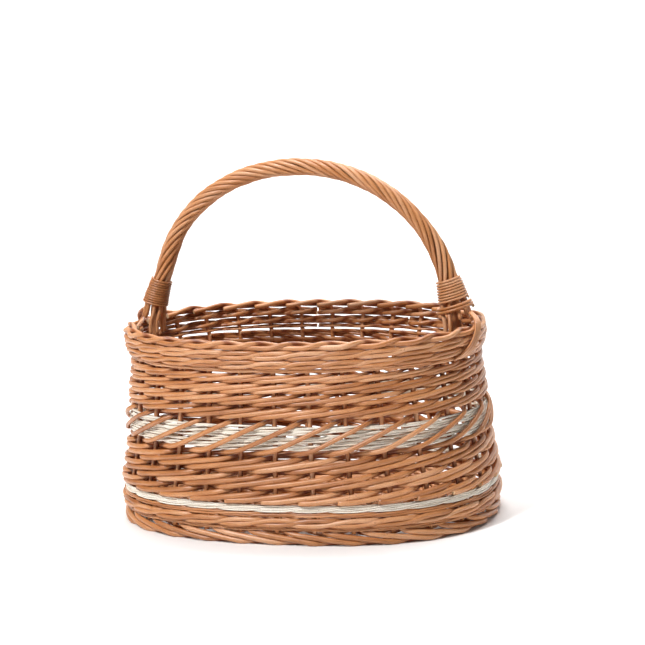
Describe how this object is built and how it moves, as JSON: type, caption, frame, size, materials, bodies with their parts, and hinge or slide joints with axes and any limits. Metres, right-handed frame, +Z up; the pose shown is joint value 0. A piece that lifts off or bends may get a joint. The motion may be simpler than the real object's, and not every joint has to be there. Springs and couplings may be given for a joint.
{
  "type": "woven market basket",
  "caption": "Oval woven willow market basket with a white crossed band, thick rolled rim and one fixed twisted arched handle.",
  "frame": {"origin": "floor under the middle of the oval base", "axes": "+X along the long axis towards the handle's right leg, +Z up, front faces -Y"},
  "size_m": [0.401, 0.281, 0.3689],
  "materials": {
    "buff_willow": "satin boiled bark-stripped willow",
    "white_willow": "satin peeled white willow",
    "willow_sticks": "thicker buff willow sticks"
  },
  "bodies": {
    "root": {"side_stakes": "buff_willow", "foot_border_rods": "buff_willow", "foot_wale": "buff_willow", "upsett_wale": "buff_willow", "fine_wale": "buff_willow", "white_wale": "white_willow", "rand_rods": "buff_willow", "white_band_rods": "white_willow", "tip_wale": "buff_willow", "rim_wale": "buff_willow", "base_cross_sticks": "willow_sticks", "base_long_sticks": "willow_sticks", "base_fill_rods": "buff_willow", "base_weaving": "buff_willow", "handle_bow": "willow_sticks", "handle_strands": "buff_willow", "handle_binding_left": "buff_willow", "handle_binding_right": "buff_willow", "handle_ring_right": "buff_willow", "handle_tie_left": "buff_willow", "handle_tie_right": "buff_willow"}
  },
  "joints": []
}
